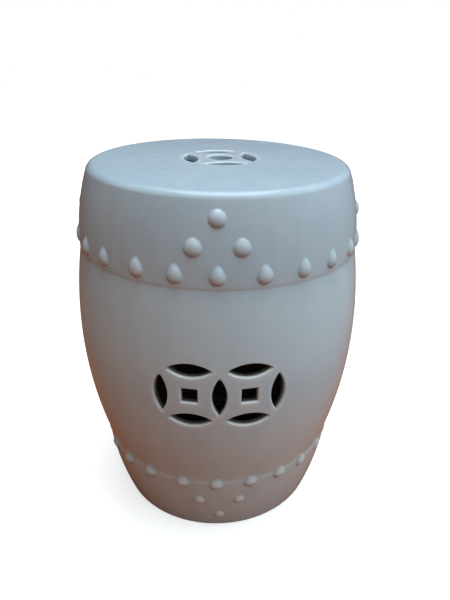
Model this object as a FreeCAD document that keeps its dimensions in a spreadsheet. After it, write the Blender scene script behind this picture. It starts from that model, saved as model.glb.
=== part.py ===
import FreeCAD, Part
import math
import os

import Sketcher

# Ceramic garden stool: a hollow drum of glazed ware, open below, 460 mm tall.
# Millimetres, +Z up. The origin is the centre of the base, on the floor. The front faces -Y.
# The drum is built of rings luted one on the other, and a pierced slab closes the top.
# Rows and triangles of small clay bosses, like the nails of a drum, are stuck on its two bands.

doc = FreeCAD.newDocument("garden_stool")
sheet = doc.addObject("Spreadsheet::Sheet", "sizes")

# The driving dimensions: alias, value, what it is.
DRIVING = [
    ("overall_height", 460, "floor to the crown of the seat"),
    ("wall_thickness", 9, "thickness of the fired wall, all round"),
    ("seat_radius", 160.5, "edge of the seat, where it meets the shoulder band"),
    ("seat_crown", 3, "rise of the seat at its centre"),
    ("seat_thickness", 10, "thickness of the seat slab"),
    ("shoulder_round", 9.5, "rounding of the seat's edge"),
    ("shoulder_height", 87, "height of the shoulder band"),
    ("shoulder_step", 0.8, "how far the shoulder band stands proud of the belly"),
    ("shoulder_bulge", 3.5, "swell of the shoulder band between its edges"),
    ("belly_radius_high", 172.9, "top of the belly wall"),
    ("belly_radius_low", 155.3, "foot of the belly wall"),
    ("belly_bulge", 16.5, "swell of the belly wall between its edges"),
    ("foot_height", 91.5, "height of the foot band"),
    ("foot_step", 2.3, "how far the foot band stands proud of the belly"),
    ("foot_radius_low", 136, "foot band at the floor"),
    ("foot_bulge", 2.8, "swell of the foot band between its edges"),
    ("ring_height", 12, "height of the bare standing ring inside the foot"),
    ("ring_width", 15, "width of the whole standing face, wall and ring"),
    ("ring_bevel", 4, "slope at the inner top edge of the standing ring"),
    ("coin_radius", 42.5, "circle of one pierced coin in the wall"),
    ("coin_spacing", 67.4, "centre to centre of the two coins, along the wall"),
    ("coin_level", 234, "height of the coins' centres"),
    ("coin_square", 18.5, "side of the square hole in a coin"),
    ("petal_half_width", 8.4, "half the width of a pierced petal"),
    ("petal_tip", 1.2, "radius of a petal's points"),
    ("seat_coin_radius", 44, "circle of the pierced coin in the seat"),
    ("seat_hole_radius", 15, "round hole in the seat"),
    ("seat_coin_turn", 9, "degrees that the seat's coin is turned"),
    ("boss_radius", 10.4, "foot of a boss"),
    ("boss_height", 4.2, "height of a boss over the wall"),
    ("boss_neck_radius", 8.4, "where the dome of a boss meets its flared foot"),
    ("boss_neck_height", 1.3, "height of that line over the wall"),
    ("boss_flare", 3, "radius of the hollow flare at a boss's foot"),
    ("boss_lip", 0.4, "thin upright edge of a boss"),
    ("boss_root", 5, "depth of a boss before it is fitted to the wall"),
    ("small_boss_share", 0.78, "size of the lower triangles' bosses beside the others"),
    ("bosses_per_quarter", 6, "bosses of a row in a quarter turn"),
    ("right_triangle_turn", 92, "degrees from the front to the triangles at the right"),
    ("left_triangle_turn", 99, "degrees from the front to the triangles at the left"),
    ("upper_front_turn", 1, "degrees that the upper triangle in front stands to the left"),
    ("lower_row_turn", 1.9, "degrees that the lower row is turned to the left"),
    ("upper_row_rise", 14, "upper row over the lower edge of the shoulder band"),
    ("upper_pair_rise", 30.1, "rise from the upper row to the pairs over it"),
    ("upper_tip_rise", 29.1, "rise from an upper pair to its tip"),
    ("upper_pair_spacing", 49.2, "between the two bosses of an upper pair"),
    ("lower_row_drop", 3.5, "lower row under the upper edge of the foot band"),
    ("lower_triangle_step", 31, "drop from line to line of a lower triangle"),
    ("lower_pair_spacing", 50.6, "between the two bosses of a lower pair"),
]

# What follows from them: alias, formula, what it is.
DERIVED = [
    ("shoulder_high", "=overall_height - seat_crown - seat_thickness", "top of the shoulder band"),
    ("shoulder_low", "=shoulder_high - shoulder_height", "lower edge of the shoulder band"),
    ("shoulder_radius_high", "=seat_radius", "the band meets the seat's edge"),
    ("shoulder_radius_low", "=belly_radius_high + shoulder_step", "the band's proud lower edge"),
    ("belly_high", "=shoulder_low", "the belly reaches the shoulder band"),
    ("belly_low", "=foot_height", "the belly stands on the foot band"),
    ("foot_high", "=foot_height", "upper edge of the foot band"),
    ("foot_low", "=0", "the floor"),
    ("foot_radius_high", "=belly_radius_low + foot_step", "the band's proud upper edge"),
    ("seat_flat_radius", "=seat_radius - shoulder_round", "where the seat's rounded edge begins"),
    ("crown_radius", "=(seat_flat_radius ^ 2 + seat_crown ^ 2) / (2 * seat_crown)", "arc of the crown"),
    ("seat_petal_centre", "=seat_coin_radius - petal_half_width", "petals of the seat from its centre"),
    ("coin_wall_radius", "=belly_arc_x + sqrt(belly_arc_radius ^ 2 - (coin_level - belly_arc_z) ^ 2)",
     "the wall at the coins"),
    ("coin_turn", "=coin_spacing / 2 / coin_wall_radius * 180 / pi", "degrees from the front to a coin"),
    ("coin_petal_rise", "=coin_spacing / 2", "upper and lower petals from a coin's centre"),
    ("cutter_reach", "=belly_radius_high + belly_bulge", "from the axis to past the wall"),
    ("ring_radius_low", "=foot_radius_low - ring_width", "inner side of the standing ring"),
]

# A band's outer face is an arc: its radius and centre follow from the band's edges and its swell.
for band in ("shoulder", "belly", "foot"):
    width = f"({band}_radius_high - {band}_radius_low)"
    rise = f"({band}_high - {band}_low)"
    DERIVED += [
        (f"{band}_chord", f"=sqrt({width} ^ 2 + {rise} ^ 2)", f"{band}: from edge to edge"),
        (f"{band}_arc_radius", f"=({band}_chord ^ 2 / 4 + {band}_bulge ^ 2) / (2 * {band}_bulge)",
         f"{band}: radius of its outer arc"),
        (f"{band}_arc_x", f"=({band}_radius_high + {band}_radius_low) / 2"
         f" - ({band}_arc_radius - {band}_bulge) * {rise} / {band}_chord", f"{band}: arc centre, sideways"),
        (f"{band}_arc_z", f"=({band}_high + {band}_low) / 2"
         f" + ({band}_arc_radius - {band}_bulge) * {width} / {band}_chord", f"{band}: arc centre, height"),
    ]

# Each line of bosses: its name, the band that carries it and its height.
BOSS_LINES = [
    ("upper_row", "shoulder", "shoulder_low + upper_row_rise"),
    ("upper_pair", "shoulder", "upper_row_level + upper_pair_rise"),
    ("upper_tip", "shoulder", "upper_pair_level + upper_tip_rise"),
    ("lower_row", "foot", "foot_high - lower_row_drop"),
    ("lower_pair", "foot", "lower_row_level - lower_triangle_step"),
    ("lower_tip", "foot", "lower_pair_level - lower_triangle_step"),
]
SMALL_BOSSES = ("lower_pair", "lower_tip")
# Which way the rows' quarters and the triangles of bosses look on each side.
SIDES = ("front", "right", "back", "left")
ROW_TURNS = {"upper": "0", "lower": "-sizes.lower_row_turn"}
TRIANGLE_TURNS = {
    "upper": ("-sizes.upper_front_turn", "sizes.right_triangle_turn", "180", "-sizes.left_triangle_turn"),
    "lower": ("0", "sizes.right_triangle_turn", "180", "-sizes.left_triangle_turn"),
}

for line, band, level in BOSS_LINES:
    DERIVED += [
        (f"{line}_level", f"={level}", f"{line}: height of its bosses"),
        (f"{line}_tilt", f"=asin(({line}_level - {band}_arc_z) / {band}_arc_radius) / 1 deg",
         f"{line}: degrees that its bosses look upward"),
        (f"{line}_radius", f"={band}_arc_x + {band}_arc_radius * cos({line}_tilt)",
         f"{line}: the wall under its bosses"),
    ]


def fill_sheet():
    """Write every size into the sheet and give its cell the size's name."""
    for row, (alias, content, note) in enumerate(DRIVING + DERIVED, start=1):
        sheet.set(f"A{row}", alias)
        sheet.setAlias(f"B{row}", alias)
        sheet.set(f"C{row}", note)
    for row, (alias, content, note) in enumerate(DRIVING + DERIVED, start=1):
        sheet.set(f"B{row}", str(content))
    doc.recompute()


def worth(formula):
    """The number that a formula of the sheet's sizes gives."""
    found = sheet.evalExpression(formula)
    return float(getattr(found, "Value", found))


def size(alias):
    """The formula that names one size of the sheet."""
    return f"sizes.{alias}"


def new_body(label):
    """A body of its own for one piece."""
    body = doc.addObject("PartDesign::Body", label)
    body.Label = label
    return body


def new_sketch(body, name, role):
    """A sketch on one of the body's own origin planes."""
    sketch = body.newObject("Sketcher::SketchObject", name)
    plane = next(item for item in body.Origin.OriginFeatures if item.Role == role)
    sketch.AttachmentSupport = [(plane, "")]
    sketch.MapMode = "FlatFace"
    return sketch


def drive(sketch, kind, geometry, formula):
    """Add one dimension to a sketch and bind it to a formula."""
    index = sketch.addConstraint(Sketcher.Constraint(kind, *geometry, worth(formula)))
    sketch.setExpression(f"Constraints[{index}]", formula)


def join(sketch, *pairs):
    """Make pairs of edge ends coincide."""
    for first, first_end, second, second_end in pairs:
        sketch.addConstraint(Sketcher.Constraint("Coincident", first, first_end, second, second_end))


def spot(x, y):
    """A point of a sketch."""
    return FreeCAD.Vector(x, y, 0)


def add_line(sketch, start, end):
    """A straight edge; gives its number in the sketch."""
    return sketch.addGeometry(Part.LineSegment(spot(*start), spot(*end)))


def add_arc(sketch, centre, radius, start, end):
    """An arc from one angle to another, anticlockwise, in degrees; gives its number."""
    circle = Part.Circle(spot(*centre), FreeCAD.Vector(0, 0, 1), radius)
    return sketch.addGeometry(Part.ArcOfCircle(circle, math.radians(start), math.radians(end)))


def place_centre(sketch, edge, x, y):
    """Bind an arc's centre to two formulas."""
    drive(sketch, "DistanceX", (-1, 1, edge, 3), x)
    drive(sketch, "DistanceY", (-1, 1, edge, 3), y)


def add_band_arc(sketch, band, radius, low, high):
    """The arc of a band's face between two heights: its centre, radius and ends are bound."""
    centre = (worth(size(f"{band}_arc_x")), worth(size(f"{band}_arc_z")))
    angles = [math.degrees(math.asin((worth(level) - centre[1]) / worth(radius))) for level in (low, high)]
    arc = add_arc(sketch, centre, worth(radius), *angles)
    place_centre(sketch, arc, size(f"{band}_arc_x"), size(f"{band}_arc_z"))
    drive(sketch, "Radius", (arc,), radius)
    drive(sketch, "DistanceY", (-1, 1, arc, 1), low)
    drive(sketch, "DistanceY", (-1, 1, arc, 2), high)
    return arc


def edge_end(sketch, edge, end):
    """Where an edge of the sketch starts (1) or ends (2)."""
    point = sketch.getPoint(edge, end)
    return point.x, point.y


def close_between(sketch, first, first_end, second, second_end):
    """A straight edge from one edge's end to another's."""
    line = add_line(sketch, edge_end(sketch, first, first_end), edge_end(sketch, second, second_end))
    join(sketch, (line, 1, first, first_end), (line, 2, second, second_end))
    return line


def revolve(body, sketch):
    """Turn a sketch once about its upright axis."""
    turned = body.newObject("PartDesign::Revolution", f"{body.Label}_turned")
    turned.Profile = (sketch, [""])
    turned.ReferenceAxis = (sketch, ["V_Axis"])
    turned.Angle = 360
    return turned


def wall_band(label, band):
    """One luted ring of the drum: two concentric arcs, a wall's thickness apart, with level ends."""
    body = new_body(label)
    outline = new_sketch(body, f"{label}_outline", "XZ_Plane")
    low, high = size(f"{band}_low"), size(f"{band}_high")
    outer_radius = size(f"{band}_arc_radius")
    outer = add_band_arc(outline, band, outer_radius, low, high)
    inner = add_band_arc(outline, band, f"{outer_radius} - sizes.wall_thickness", low, high)
    close_between(outline, outer, 1, inner, 1)
    close_between(outline, outer, 2, inner, 2)
    revolve(body, outline)
    return body


def standing_ring():
    """The bare ring luted inside the foot band, which widens the face that the stool stands on."""
    body = new_body("standing_ring")
    outline = new_sketch(body, "standing_ring_outline", "XZ_Plane")
    low, high = size("foot_low"), f"{size('foot_low')} + sizes.ring_height"
    side = size("ring_radius_low")
    side_high = "sizes.ring_height - sizes.ring_bevel"
    top_low = f"{side} + sizes.ring_bevel"
    wall = add_band_arc(outline, "foot", "sizes.foot_arc_radius - sizes.wall_thickness", low, high)
    inside = add_line(outline, (worth(side), worth(low)), (worth(side), worth(side_high)))
    outline.addConstraint(Sketcher.Constraint("Vertical", inside))
    drive(outline, "DistanceX", (-1, 1, inside, 1), side)
    drive(outline, "DistanceY", (-1, 1, inside, 1), low)
    drive(outline, "DistanceY", (-1, 1, inside, 2), side_high)
    top = add_line(outline, (worth(top_low), worth(high)), edge_end(outline, wall, 2))
    join(outline, (top, 2, wall, 2))
    outline.addConstraint(Sketcher.Constraint("Horizontal", top))
    drive(outline, "DistanceX", (-1, 1, top, 1), top_low)
    close_between(outline, inside, 1, wall, 1)
    close_between(outline, inside, 2, top, 1)
    revolve(body, outline)
    return body


def add_petal(sketch, x, y, upright, circle):
    """A pointed petal: two arcs of the coin's circle that cross, with their points rounded."""
    reach = f"({circle} - sizes.petal_half_width)"
    tip = size("petal_tip")
    along = math.sqrt((worth(circle) - worth(tip)) ** 2 - worth(reach) ** 2)
    opening = math.degrees(math.atan2(along, worth(reach)))
    turn = 0 if upright else -90
    sideways = (1, 0) if upright else (0, -1)
    lengthways = (0, 1) if upright else (1, 0)
    middle = (worth(x), worth(y))

    def away(direction, distance):
        return middle[0] + direction[0] * distance, middle[1] + direction[1] * distance

    far, back = worth(reach), turn + 180
    right = add_arc(sketch, away(sideways, -far), worth(circle), turn - opening, turn + opening)
    top = add_arc(sketch, away(lengthways, along), worth(tip), turn + opening, back - opening)
    left = add_arc(sketch, away(sideways, far), worth(circle), back - opening, back + opening)
    low = add_arc(sketch, away(lengthways, -along), worth(tip), back + opening, turn - opening)
    for edge, following in ((right, top), (top, left), (left, low), (low, right)):
        sketch.addConstraint(Sketcher.Constraint("Tangent", edge, 2, following, 1))
    for edge, sign in ((right, -1), (left, 1)):
        across, along_up = sign * sideways[0], sign * sideways[1]
        place_centre(sketch, edge, f"{x} + {across} * {reach}", f"{y} + {along_up} * {reach}")
        drive(sketch, "Radius", (edge,), circle)
    for edge in (top, low):
        drive(sketch, "Radius", (edge,), tip)


def add_square(sketch, x, y, side):
    """A square hole: four edges about a centre, with both corners bound."""
    half = worth(side) / 2
    left, right = worth(x) - half, worth(x) + half
    bottom, top = worth(y) - half, worth(y) + half
    corners = [(left, bottom), (right, bottom), (right, top), (left, top)]
    edges = [add_line(sketch, corners[k], corners[(k + 1) % 4]) for k in range(4)]
    for k, direction in enumerate(("Horizontal", "Vertical", "Horizontal", "Vertical")):
        sketch.addConstraint(Sketcher.Constraint(direction, edges[k]))
        join(sketch, (edges[k], 2, edges[(k + 1) % 4], 1))
    for edge, sign in ((edges[0], "-"), (edges[2], "+")):
        drive(sketch, "DistanceX", (-1, 1, edge, 1), f"{x} {sign} {side} / 2")
        drive(sketch, "DistanceY", (-1, 1, edge, 1), f"{y} {sign} {side} / 2")


def pierce_wall(body, name, turn, draw):
    """Cut a drawing through the front wall, looking straight out at one turn about the axis."""
    sketch = new_sketch(body, name, "XZ_Plane")
    sketch.AttachmentOffset = FreeCAD.Placement(spot(0, 0), FreeCAD.Rotation(spot(0, 1), 0))
    sketch.setExpression("AttachmentOffset.Rotation.Angle", f"{turn} * 1 deg")
    draw(sketch)
    cut = body.newObject("PartDesign::Pocket", f"{name}_cut")
    cut.Profile = sketch
    cut.Reversed = True
    cut.setExpression("Length", size("cutter_reach"))
    return cut


def draw_upright_petal(sketch):
    """One petal standing at the coins' height."""
    add_petal(sketch, "0", size("coin_level"), True, size("coin_radius"))


def draw_coin(sketch):
    """A coin's square hole and its upper and lower petals."""
    add_square(sketch, "0", size("coin_level"), size("coin_square"))
    for sign in ("+", "-"):
        add_petal(sketch, "0", f"sizes.coin_level {sign} sizes.coin_petal_rise", False, size("coin_radius"))


def belly_wall():
    """The belly ring, pierced front and back with two linked coins."""
    body = wall_band("belly_wall", "belly")
    cuts = [
        pierce_wall(body, "middle_petal", "0", draw_upright_petal),
        pierce_wall(body, "left_coin", "-sizes.coin_turn", draw_coin),
        pierce_wall(body, "right_coin", "sizes.coin_turn", draw_coin),
        pierce_wall(body, "left_petal", "-2 * sizes.coin_turn", draw_upright_petal),
        pierce_wall(body, "right_petal", "2 * sizes.coin_turn", draw_upright_petal),
    ]
    pattern = body.newObject("PartDesign::PolarPattern", "front_and_back")
    pattern.Originals = cuts
    pattern.Axis = (cuts[0].Profile[0], ["V_Axis"])
    pattern.Angle = 360
    pattern.Occurrences = 2
    body.Tip = pattern
    return body


def seat_slab():
    """The crowned seat with its rounded edge, pierced with a round hole and four petals."""
    body = new_body("seat_slab")
    outline = new_sketch(body, "seat_outline", "XZ_Plane")
    flat, crown = size("seat_flat_radius"), size("crown_radius")
    spread = math.degrees(math.asin(worth(flat) / worth(crown)))
    top_centre = f"sizes.overall_height - {crown}"
    top = add_arc(outline, (0, worth(top_centre)), worth(crown), 90 - spread, 90)
    place_centre(outline, top, "0", top_centre)
    drive(outline, "Radius", (top,), crown)
    drive(outline, "DistanceX", (-1, 1, top, 1), flat)
    drive(outline, "DistanceX", (-1, 1, top, 2), "0")
    edge_level = "sizes.overall_height - sizes.seat_crown - sizes.shoulder_round"
    edge = add_arc(outline, (worth(flat), worth(edge_level)), worth(size("shoulder_round")), 0, 90)
    place_centre(outline, edge, flat, edge_level)
    drive(outline, "DistanceY", (-1, 1, edge, 1), edge_level)
    join(outline, (edge, 2, top, 1))
    under_centre = f"{size('shoulder_high')} + sizes.seat_crown - {crown}"
    under = add_arc(outline, (0, worth(under_centre)), worth(crown), 90 - spread, 90)
    place_centre(outline, under, "0", under_centre)
    drive(outline, "Radius", (under,), crown)
    drive(outline, "DistanceX", (-1, 1, under, 1), flat)
    drive(outline, "DistanceX", (-1, 1, under, 2), "0")
    rim = add_line(outline, (worth(size("seat_radius")), worth(edge_level)),
                   (worth(size("seat_radius")), worth(size("shoulder_high"))))
    join(outline, (rim, 1, edge, 1))
    outline.addConstraint(Sketcher.Constraint("Vertical", rim))
    drive(outline, "DistanceY", (-1, 1, rim, 2), size("shoulder_high"))
    close_between(outline, rim, 2, under, 1)
    close_between(outline, under, 2, top, 2)
    revolve(body, outline)

    hole = new_sketch(body, "seat_hole", "XY_Plane")
    hole.setExpression("AttachmentOffset.Base.z", size("overall_height"))
    round_edge = Part.Circle(spot(0, 0), FreeCAD.Vector(0, 0, 1), worth(size("seat_hole_radius")))
    circle = hole.addGeometry(round_edge)
    join(hole, (circle, 3, -1, 1))
    drive(hole, "Radius", (circle,), size("seat_hole_radius"))
    hole_cut = body.newObject("PartDesign::Pocket", "seat_hole_cut")
    hole_cut.Profile = hole
    hole_cut.Type = "ThroughAll"

    petal = new_sketch(body, "seat_petal", "XY_Plane")
    petal.setExpression("AttachmentOffset.Base.z", size("overall_height"))
    petal.setExpression("AttachmentOffset.Rotation.Angle", "sizes.seat_coin_turn * 1 deg")
    add_petal(petal, size("seat_petal_centre"), "0", True, size("coin_radius"))
    petal_cut = body.newObject("PartDesign::Pocket", "seat_petal_cut")
    petal_cut.Profile = petal
    petal_cut.Type = "ThroughAll"
    pattern = body.newObject("PartDesign::PolarPattern", "four_petals")
    pattern.Originals = [petal_cut]
    pattern.Axis = (hole, ["N_Axis"])
    pattern.Angle = 360
    pattern.Occurrences = 4
    body.Tip = pattern
    return body


def wall_form():
    """The drum's whole outer form as one solid, which the backs of the bosses are fitted to."""
    body = new_body("wall_form")
    outline = new_sketch(body, "wall_form_outline", "XZ_Plane")
    arcs = []
    for band in ("foot", "belly", "shoulder"):
        low, high = size(f"{band}_low"), size(f"{band}_high")
        arcs.append(add_band_arc(outline, band, size(f"{band}_arc_radius"), low, high))
    close_between(outline, arcs[0], 2, arcs[1], 1)
    close_between(outline, arcs[1], 2, arcs[2], 1)
    axis = add_line(outline, (0, 0), (0, worth(size("shoulder_high"))))
    join(outline, (axis, 1, -1, 1))
    outline.addConstraint(Sketcher.Constraint("Vertical", axis))
    drive(outline, "DistanceY", (-1, 1, axis, 2), size("shoulder_high"))
    close_between(outline, axis, 1, arcs[0], 1)
    close_between(outline, axis, 2, arcs[2], 2)
    revolve(body, outline)
    return body


def boss_blank(label, share):
    """A boss before it is fitted: a dome on a flared foot, with a deep root, standing on its own axis."""
    body = new_body(label)
    outline = new_sketch(body, f"{label}_outline", "XZ_Plane")
    neck, neck_level = f"sizes.boss_neck_radius * {share}", f"sizes.boss_neck_height * {share}"
    foot, peak = f"sizes.boss_radius * {share}", f"sizes.boss_height * {share}"
    curve = f"sizes.boss_flare * {share}"
    neck_x, neck_z = worth(neck), worth(neck_level)
    foot_x, lip = worth(foot), worth(size("boss_lip"))
    top, root = worth(peak), worth(size("boss_root"))
    dome_z = (top ** 2 - neck_x ** 2 - neck_z ** 2) / (2 * (top - neck_z))
    neck_angle = math.degrees(math.atan2(neck_z - dome_z, neck_x))
    dome = add_arc(outline, (0, dome_z), top - dome_z, neck_angle, 90)
    outline.addConstraint(Sketcher.Constraint("PointOnObject", dome, 3, -2))
    outline.addConstraint(Sketcher.Constraint("PointOnObject", dome, 2, -2))
    drive(outline, "DistanceY", (-1, 1, dome, 2), peak)
    drive(outline, "DistanceX", (-1, 1, dome, 1), neck)
    drive(outline, "DistanceY", (-1, 1, dome, 1), neck_level)
    flare_radius = worth(curve)
    run, drop = foot_x - neck_x, neck_z - lip
    span = math.hypot(run, drop)
    offset = math.sqrt(flare_radius ** 2 - span ** 2 / 4)
    flare_x = (foot_x + neck_x) / 2 + offset * drop / span
    flare_z = (neck_z + lip) / 2 + offset * run / span
    flare_ends = ((neck_x, neck_z), (foot_x, lip))
    angles = [math.degrees(math.atan2(z - flare_z, x - flare_x)) for x, z in flare_ends]
    flare = add_arc(outline, (flare_x, flare_z), flare_radius, *angles)
    join(outline, (flare, 1, dome, 1))
    drive(outline, "Radius", (flare,), curve)
    drive(outline, "DistanceX", (-1, 1, flare, 2), foot)
    drive(outline, "DistanceY", (-1, 1, flare, 2), size("boss_lip"))
    side = add_line(outline, (foot_x, lip), (foot_x, -root))
    join(outline, (side, 1, flare, 2))
    outline.addConstraint(Sketcher.Constraint("Vertical", side))
    drive(outline, "DistanceY", (-1, 1, side, 2), "-sizes.boss_root")
    back = add_line(outline, (foot_x, -root), (0, -root))
    join(outline, (back, 1, side, 2))
    outline.addConstraint(Sketcher.Constraint("Horizontal", back))
    outline.addConstraint(Sketcher.Constraint("PointOnObject", back, 2, -2))
    close_between(outline, back, 2, dome, 2)
    revolve(body, outline)
    return body


def fitted_boss(line):
    """A line's boss at the front, looking straight out of the wall, with its back fitted to the wall."""
    placed = doc.addObject("App::Link", f"{line}_blank")
    placed.LinkedObject = small_blank if line in SMALL_BOSSES else blank
    place = (f"placement(vector(0; -sizes.{line}_radius; sizes.{line}_level);"
             f" rotation(0; 0; 90 - sizes.{line}_tilt))")
    placed.setExpression("Placement", place)
    fitted = doc.addObject("Part::Cut", f"{line}_fitted")
    fitted.Base = placed
    fitted.Tool = form
    return fitted


def boss_group(label, line, turns):
    """Bosses of one line as one piece or a group: the fitted boss turned about the drum's axis."""
    group = doc.addObject("Part::Compound", label)
    group.Label = label
    copies = []
    for number, degrees in enumerate(turns, start=1):
        copy = doc.addObject("App::Link", f"{label}_{number}")
        copy.LinkedObject = fitted_bosses[line]
        copy.setExpression("Placement", f"placement(vector(0; 0; 0); rotation({degrees}; 0; 0))")
        copies.append(copy)
    group.Links = copies
    return group


def boss_row_quarter(level, side, degrees):
    """A quarter of a row, with a boss at the middle of its side."""
    count = int(worth(size("bosses_per_quarter")))
    before = (count - 1) // 2
    turns = [f"{degrees} + {place - before} * 90 / sizes.bosses_per_quarter" for place in range(count)]
    return boss_group(f"{level}_row_bosses_{side}", f"{level}_row", turns)


def boss_triangle(level, side, degrees):
    """The pair and the tip that make a triangle with the middle bosses of a row."""
    turn = f"sizes.{level}_pair_spacing / 2 / sizes.{level}_pair_radius * 180 / pi"
    return [
        boss_group(f"{level}_pair_boss_{side}_left", f"{level}_pair", [f"{degrees} - {turn}"]),
        boss_group(f"{level}_pair_boss_{side}_right", f"{level}_pair", [f"{degrees} + {turn}"]),
        boss_group(f"{level}_tip_boss_{side}", f"{level}_tip", [f"{degrees}"]),
    ]


def check_document():
    """Stop if anything in the document failed to build."""
    for item in doc.Objects:
        if "Invalid" in item.State or "Error" in item.State:
            raise RuntimeError(f"{item.Label} failed: {item.State}")


def write_pieces(pieces):
    """Check each piece and write it under its own name."""
    os.makedirs("parts", exist_ok=True)
    for piece in pieces:
        shape = piece.Shape
        if shape.isNull() or not shape.isValid() or not shape.Solids:
            raise RuntimeError(f"{piece.Label} has no valid solid")
        shape.exportStep(f"parts/{piece.Label}.step")
        print(f"{piece.Label}: {len(shape.Solids)} solid, {shape.Volume / 1000:.1f} cm3")


fill_sheet()
form = wall_form()
blank = boss_blank("boss_blank", "1")
small_blank = boss_blank("small_boss_blank", "sizes.small_boss_share")
fitted_bosses = {line: fitted_boss(line) for line, band, level in BOSS_LINES}
pieces = [
    seat_slab(),
    wall_band("shoulder_band", "shoulder"),
    belly_wall(),
    wall_band("foot_band", "foot"),
    standing_ring(),
]
for level in ("upper", "lower"):
    for number, side in enumerate(SIDES):
        pieces.append(boss_row_quarter(level, side, f"{90 * number} + {ROW_TURNS[level]}"))
        pieces += boss_triangle(level, side, TRIANGLE_TURNS[level][number])
doc.recompute()
check_document()
write_pieces(pieces)
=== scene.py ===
# %% [markdown]
# # A glazed drum stool, built like slab pottery
#
# The real object is a hollow garden stool of fired clay under a pale, glossy glaze. A potter
# rolls a slab flat, pierces it, bends it round into a ring, lutes a seat on top and presses
# small domed bosses on while all of it is soft. This lesson follows the same order, because a
# flat slab is the easy place to cut holes and soften their edges.
#
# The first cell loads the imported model. It stays as it is, and says where everything goes.

# %% Load the frame
import math
import random
from collections import namedtuple

import bmesh
import bpy
from mathutils import Matrix, Vector, kdtree


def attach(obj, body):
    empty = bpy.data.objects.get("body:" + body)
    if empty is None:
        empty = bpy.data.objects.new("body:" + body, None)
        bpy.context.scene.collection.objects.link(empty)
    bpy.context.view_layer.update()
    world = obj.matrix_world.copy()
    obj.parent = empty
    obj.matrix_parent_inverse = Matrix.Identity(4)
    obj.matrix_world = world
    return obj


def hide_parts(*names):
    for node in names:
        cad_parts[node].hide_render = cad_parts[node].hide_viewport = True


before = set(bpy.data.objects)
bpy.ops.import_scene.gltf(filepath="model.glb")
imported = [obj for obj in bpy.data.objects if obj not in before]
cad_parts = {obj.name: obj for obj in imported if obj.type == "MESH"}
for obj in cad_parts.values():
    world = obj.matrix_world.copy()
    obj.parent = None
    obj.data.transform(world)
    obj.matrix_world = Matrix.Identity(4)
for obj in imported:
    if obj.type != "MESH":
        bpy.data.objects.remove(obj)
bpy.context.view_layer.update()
bpy.ops.object.select_all(action="DESELECT")

# %% [markdown]
# ## The drum's profile
#
# The wall is three rings, one on another. Each one's outer face is an arc that swells between
# its two edges. It could be a spline drawn by eye, but an arc from two edges and a swell gives
# the wall's radius at any height, and everything that sits on the wall asks for that.

# %% Bands of the wall
# MM turns millimetres into Blender's metres. HAIR is the width within which two places are one.
MM = 0.001
HAIR = 0.01 * MM
WALL = 9 * MM
SEAT_LEVEL = 447 * MM
SHOULDER_LEVEL = 360 * MM
FOOT_LEVEL = 91.5 * MM


class Band:
    """One ring of the wall: its outer face is an arc through two edges with a swell between."""

    def __init__(self, low, high, radius_low, radius_high, swell):
        self.low, self.high = low, high
        rise, lean = high - low, radius_high - radius_low
        chord = math.hypot(rise, lean)
        self.arc = (chord ** 2 / 4 + swell ** 2) / (2 * swell)
        offset = self.arc - swell
        self.x = (radius_low + radius_high) / 2 - offset * rise / chord
        self.z = (low + high) / 2 + offset * lean / chord

    def radius(self, z, depth=0.0):
        """The wall's radius at a height, or that of a face the given depth inside it."""
        return self.x + math.sqrt((self.arc - depth) ** 2 - (z - self.z) ** 2)

    def tilt(self, z):
        """How far the wall looks upward at a height, in radians."""
        return math.asin((z - self.z) / self.arc)


FOOT = Band(0.0, FOOT_LEVEL, 136 * MM, 157.6 * MM, 2.8 * MM)
BELLY = Band(FOOT_LEVEL, SHOULDER_LEVEL, 155.3 * MM, 172.9 * MM, 16.5 * MM)
SHOULDER = Band(SHOULDER_LEVEL, SEAT_LEVEL, 173.7 * MM, 160.5 * MM, 3.5 * MM)
print("Widest radius:", round(max(BELLY.radius(z * MM) for z in range(92, 360)) / MM, 1), "mm")

# %% [markdown]
# ## Small helpers for working by hand
#
# Blender's operators act on whatever is selected, so before each one the right piece is chosen
# and its edges or faces are picked by their place. These helpers are the fingers of this
# lesson: they choose a piece, start and end its editing, pick by a rule, and finish.

# %% Choose and pick
def choose(*pieces):
    """Select only these pieces and make the first one active. With none, deselect everything."""
    bpy.ops.object.select_all(action="DESELECT")
    for piece in pieces:
        piece.select_set(True)
    if pieces:
        bpy.context.view_layer.objects.active = pieces[0]


def settle(name):
    """Name the primitive that was just added, and put its place and size into its mesh."""
    piece = bpy.context.object
    piece.name = name
    bpy.ops.object.transform_apply(location=True, rotation=True, scale=True)
    return piece


def edit(piece, kind="EDGE"):
    """Go into edit mode on one piece, with nothing selected."""
    choose(piece)
    bpy.ops.object.mode_set(mode="EDIT")
    bpy.ops.mesh.select_mode(type=kind)
    bpy.ops.mesh.select_all(action="DESELECT")


def done():
    """Leave edit mode."""
    bpy.ops.object.mode_set(mode="OBJECT")


def pick(piece, parts, rule):
    """Select the edges or faces of the piece in edit mode for which the rule holds."""
    bpy.ops.mesh.select_all(action="DESELECT")
    mesh = bmesh.from_edit_mesh(piece.data)
    mesh.normal_update()
    count = 0
    for part in getattr(mesh, parts):
        if rule(part):
            part.select_set(True)
            count += 1
    bmesh.update_edit_mesh(piece.data)
    return count


def round_off(piece, rule, offset, segments):
    """Bevel the edges of the piece in edit mode for which the rule holds."""
    count = pick(piece, "edges", rule)
    bpy.ops.mesh.bevel(offset=offset, segments=segments, affect="EDGES")
    return count


# %% Finish
def apply_modifier(piece, kind, **settings):
    """Add a modifier, set it and apply it."""
    choose(piece)
    modifier = piece.modifiers.new(kind.lower(), kind)
    for name, value in settings.items():
        setattr(modifier, name, value)
    bpy.ops.object.modifier_apply(modifier=modifier.name)


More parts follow.
